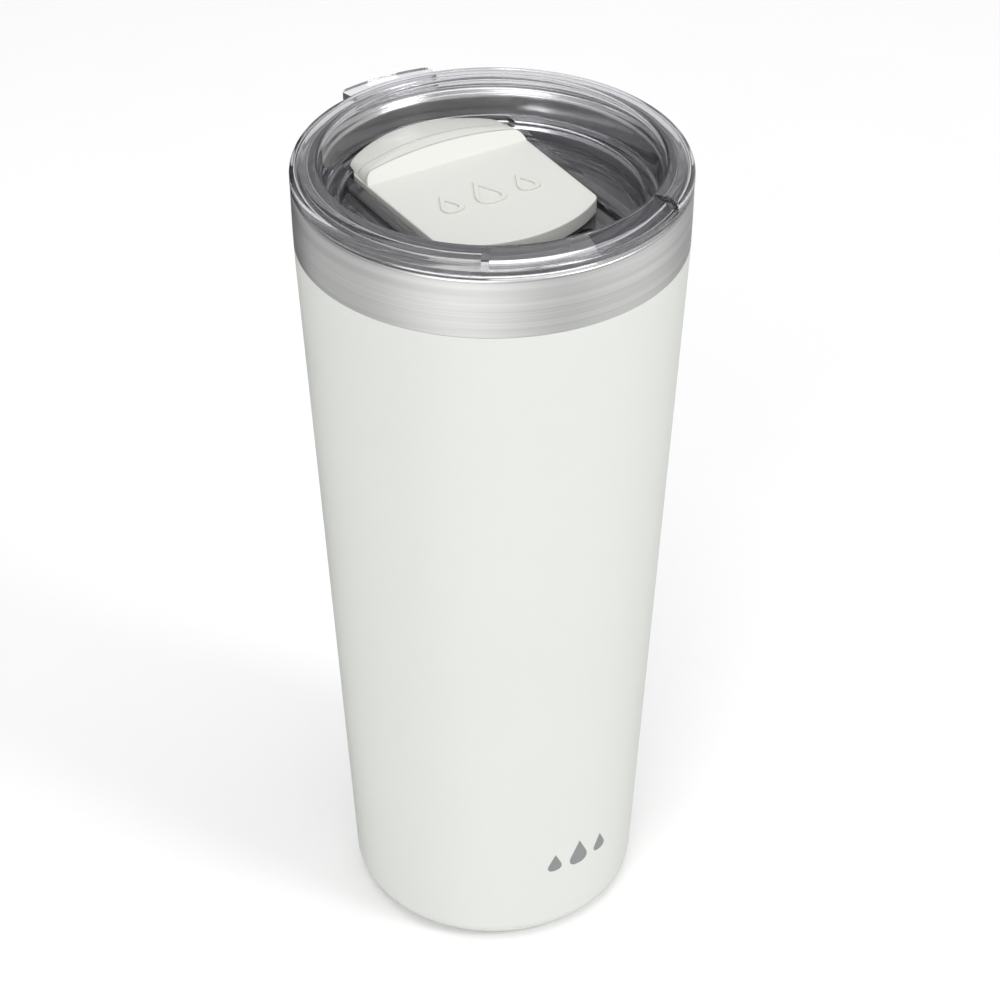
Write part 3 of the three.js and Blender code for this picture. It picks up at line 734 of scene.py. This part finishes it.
# %% A finish
def finish(name, colours, gloss, relief, pattern, settings, **even):
    """gloss is (lowest, highest) roughness, and relief is the bump's height in millimetres."""
    material = bpy.data.materials.new(name)
    material.use_nodes = True
    tree = material.node_tree
    shader = tree.nodes["Principled BSDF"]
    source = add_node(tree, "ShaderNodeGroup", node_tree=pattern)
    for label, value in settings.items():
        source.inputs[label].default_value = value
    tint = add_node(tree, "ShaderNodeMix", data_type="RGBA")
    tint.inputs["A"].default_value = (*colours[0], 1)
    tint.inputs["B"].default_value = (*colours[1], 1)
    tree.links.new(source.outputs["Tone"], tint.inputs["Factor"])
    tree.links.new(tint.outputs["Result"], shader.inputs["Base Color"])
    marks = add_node(tree, "ShaderNodeGroup", node_tree=handling)
    sheen = add_node(tree, "ShaderNodeMapRange")
    sheen.inputs["To Min"].default_value = gloss[0]
    sheen.inputs["To Max"].default_value = gloss[1]
    tree.links.new(marks.outputs["Mask"], sheen.inputs["Value"])
    tree.links.new(sheen.outputs["Result"], shader.inputs["Roughness"])
    bump = add_node(tree, "ShaderNodeBump", Strength=1.0, Distance=relief * MM)
    tree.links.new(source.outputs["Height"], bump.inputs["Height"])
    tree.links.new(bump.outputs["Normal"], shader.inputs["Normal"])
    for label, value in even.items():
        shader.inputs[label.replace("_", " ")].default_value = value
    return material


def paint(target, material):
    """A piece made here, or a node of the frame, gets its finish."""
    target.data.materials.clear()
    target.data.materials.append(material)


# %% [markdown]
# ## The cup's finishes
# The coat is baked powder: a warm white with a slight orange-peel surface and a soft sheen. The
# band is brushed round the cup, so that highlights spread up and down. The liner is drawn and
# polished, the disc is rolled sheet, and the ink is a flat grey.

# %% Coat, steels, glass and getter
coat_finish = finish("powder_coat", ((0.685, 0.7, 0.665), (0.71, 0.725, 0.69)), (0.42, 0.5),
                     0.012, grain, {"Scale": 1100.0})
band_finish = finish("brushed_steel", ((0.55, 0.55, 0.545), (0.68, 0.68, 0.675)), (0.26, 0.32),
                     0.004, lines, {"Along": 14.0, "Across": 2600.0},
                     Metallic=1.0, Anisotropic=0.75)
liner_finish = finish("drawn_steel", ((0.8, 0.8, 0.79), (0.87, 0.87, 0.86)), (0.2, 0.28),
                      0.002, lines, {"Along": 8.0, "Across": 700.0}, Metallic=1.0)
sheet_finish = finish("rolled_steel", ((0.55, 0.55, 0.54), (0.64, 0.64, 0.63)), (0.28, 0.36),
                      0.003, grain, {"Scale": 1500.0}, Metallic=1.0)
ink_finish = finish("grey_ink", ((0.22, 0.22, 0.225), (0.26, 0.26, 0.265)), (0.4, 0.5),
                    0.004, grain, {"Scale": 2200.0})
bead_finish = finish("sealing_glass", ((0.1, 0.12, 0.11), (0.14, 0.16, 0.15)), (0.12, 0.2),
                     0.01, grain, {"Scale": 500.0}, IOR=1.6)
getter_finish = finish("sintered_getter", ((0.05, 0.048, 0.045), (0.11, 0.105, 0.1)), (0.8, 0.95),
                       0.05, grain, {"Scale": 2600.0, "Fine share": 0.6})
paint(coat, coat_finish)
paint(shell, band_finish)
paint(liner, liner_finish)
paint(closing_plate, sheet_finish)
paint(disc, sheet_finish)
paint(sleeve, ink_finish)
paint(nodes["vacuum_seal"], bead_finish)
paint(nodes["getter_cup"], sheet_finish)
paint(nodes["getter_pellet"], getter_finish)

# %% [markdown]
# ## The lid's finishes
# The lid is a clear copolyester with a smoky tint. Light loses strength on its way through, so
# the tint is in the volume: thin floors stay light, and the thick rim goes dark. A tint on the
# surface alone would look the same at every thickness. The slider is a satin cream moulding with
# a very fine spark texture, and the seals are grey silicone.

# %% Smoke plastic, slider plastic and silicone
smoke_finish = finish("smoke_plastic", ((0.95, 0.95, 0.96), (0.97, 0.97, 0.98)), (0.015, 0.04),
                      0.002, grain, {"Scale": 60.0, "Fine share": 0.1},
                      IOR=1.54, Transmission_Weight=0.97)
tree = smoke_finish.node_tree
tint = add_node(tree, "ShaderNodeVolumeAbsorption", Color=(0.1, 0.08, 0.22, 1), Density=40.0)
tree.links.new(tint.outputs["Volume"], tree.nodes["Material Output"].inputs["Volume"])
cream_finish = finish("slider_plastic", ((0.635, 0.64, 0.605), (0.655, 0.66, 0.625)), (0.3, 0.36),
                      0.004, grain, {"Scale": 2400.0}, IOR=1.5)
silicone_finish = finish("silicone", ((0.26, 0.26, 0.27), (0.31, 0.31, 0.32)), (0.5, 0.62),
                         0.004, grain, {"Scale": 1500.0}, IOR=1.42)
paint(lid, smoke_finish)
paint(gasket, silicone_finish)
paint(cover, cream_finish)
paint(pad, silicone_finish)
paint(nodes["slider_carriage"], cream_finish)
paint(nodes["slider_retainer"], cream_finish)

# %% [markdown]
# ## The studio
# A wide pale floor, an even white surround that is a little darker behind the tumbler, and a few
# large soft lights on the camera's side. The surround could be a photographed sky, but a plain
# gradient gives clean, calm reflections in the steel.

# %% Floor
mesh = bmesh.new()
bmesh.ops.create_grid(mesh, x_segments=1, y_segments=1, size=6)
floor = add_piece("floor", mesh)
floor_finish = finish("pale_floor", ((0.96, 0.96, 0.96), (0.97, 0.97, 0.97)), (0.75, 0.85),
                      0.001, grain, {"Scale": 40.0})
floor.data.materials.append(floor_finish)
floor.visible_glossy = False  # the steel mirrors the surround, not the floor

# %% Camera
camera_data = bpy.data.cameras.new("camera")
camera_data.lens = 95.85
camera_data.sensor_width = 36
camera = bpy.data.objects.new("camera", camera_data)
camera.location = (-0.2884, -0.4760, 0.5219)
camera.rotation_euler = (math.radians(54.21), 0, math.radians(-31.4))
bpy.context.scene.collection.objects.link(camera)
bpy.context.scene.camera = camera
toward_camera = Vector((camera.location.x, camera.location.y, 0)).normalized()

# %% Surround
# Brightness of the surround, by the angle round from the camera's side, in degrees.
SURROUND = ((-180, 0.35), (-172, 0.2), (-163, 0), (-142, 0), (-133, 0.42), (-122, 0.52), (-70, 0.6),
            (-44, 0.95), (-19, 1.2), (2, 1.08), (18, 0.86), (40, 0.6), (66, 0.82), (97, 0.84),
            (117, 0.66), (136, 0.42), (156, 0.35), (180, 0.35))
world = bpy.data.worlds.new("surround")
world.use_nodes = True
bpy.context.scene.world = world
sky = world.node_tree
direction = add_node(sky, "ShaderNodeTexCoord")
turn = add_node(sky, "ShaderNodeMapping", vector_type="POINT")
turn.inputs["Rotation"].default_value[2] = -math.atan2(toward_camera.y, toward_camera.x)
round_it = add_node(sky, "ShaderNodeTexGradient", gradient_type="RADIAL")
cards = add_node(sky, "ShaderNodeValToRGB")
for index, (angle, brightness) in enumerate(SURROUND):
    share = (angle + 180) / 360
    steps = cards.color_ramp.elements
    step = steps[0] if index == 0 else steps[-1] if angle == 180 else steps.new(share)
    step.color = (brightness, brightness, brightness, 1)
sky.links.new(direction.outputs["Generated"], turn.inputs["Vector"])
sky.links.new(turn.outputs["Vector"], round_it.inputs["Vector"])
sky.links.new(round_it.outputs["Fac"], cards.inputs["Fac"])
sky.links.new(cards.outputs["Color"], sky.nodes["Background"].inputs["Color"])
height = add_node(sky, "ShaderNodeSeparateXYZ")
below = add_node(sky, "ShaderNodeMapRange")
below.inputs["From Min"].default_value = -0.05
below.inputs["From Max"].default_value = 0.05
below.inputs["To Min"].default_value = 1.2
below.inputs["To Max"].default_value = 0.75
sky.links.new(direction.outputs["Generated"], height.inputs[0])
sky.links.new(height.outputs["Z"], below.inputs["Value"])
sky.links.new(below.outputs["Result"], sky.nodes["Background"].inputs["Strength"])


# %% Soft lights
def soft_light(name, place, size, watts):
    data = bpy.data.lights.new(name, "AREA")
    data.shape = "RECTANGLE"
    data.size, data.size_y = size
    data.energy = watts
    light = bpy.data.objects.new(name, data)
    light.location = place
    aim = Vector((0, 0, 0.12)) - Vector(place)
    light.rotation_euler = aim.to_track_quat("-Z", "Y").to_euler()
    bpy.context.scene.collection.objects.link(light)


soft_light("overhead", (0.0, 0.1, 1.7), (1.6, 1.6), 14)
soft_light("front", (-1.05, -0.85, 1.0), (0.8, 0.8), 6)
soft_light("highlight", (0.68, -1.18, 1.13), (0.45, 0.45), 7)
soft_light("back", (0.9, 1.45, 1.35), (1.7, 1.1), 3)
bpy.context.scene.view_settings.view_transform = "Standard"

# %% Update the scene and finish
bpy.context.view_layer.update()
